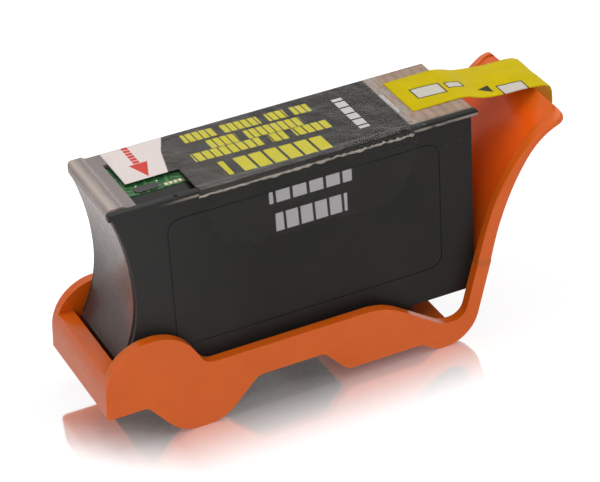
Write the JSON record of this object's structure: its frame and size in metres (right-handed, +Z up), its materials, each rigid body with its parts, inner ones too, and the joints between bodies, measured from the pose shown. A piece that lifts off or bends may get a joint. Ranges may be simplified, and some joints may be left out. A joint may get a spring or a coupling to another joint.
{
  "type": "inkjet ink cartridge",
  "caption": "Inkjet ink cartridge: slim two-room tank with side covers, wrap label and pull tape, held in a moulded shipping clip with a handle scoop",
  "frame": {"origin": "on the ground under the middle of the whole object's bounding box", "axes": "+X along the tank from its narrow grip end to the handle, +Y across the tank from the front cover to the back cover, +Z up"},
  "size_m": [0.1037, 0.0314, 0.0514],
  "materials": {
    "smoke_plastic": "translucent smoky moulding, satin",
    "black_cover": "satin black moulding",
    "beige_lid": "translucent beige moulding",
    "black_tray": "black moulding",
    "board": "green solder mask",
    "contact": "plated contacts",
    "resin": "dark potting resin",
    "solder": "bright solder",
    "plug": "plain moulding",
    "membrane": "fine white membrane",
    "foam": "ink-soaked open foam",
    "wick": "pressed fibre",
    "mesh": "fine steel mesh",
    "gasket": "soft black rubber",
    "seal": "soft translucent rubber",
    "label": "glossy printed film",
    "film": "clear wrinkled film",
    "tape": "glossy yellow film",
    "orange_clip": "orange moulding, satin gloss"
  },
  "bodies": {
    "root": {"tank_frame": "smoke_plastic", "front_cover": "black_cover", "back_cover": "black_cover", "top_lid": "beige_lid", "board_tray": "black_tray", "chip_board": "board", "contact_pads": "contact", "chip_cap": "resin", "solder_dots": "solder", "fill_plug": "plug", "vent_film": "membrane", "foam_block": "foam", "outlet_wick": "wick", "outlet_screen": "mesh", "outlet_gasket": "gasket", "seal_pad": "seal", "wrap_label": "label", "clear_film": "film", "pull_tape": "tape", "clip": "orange_clip"}
  },
  "joints": []
}
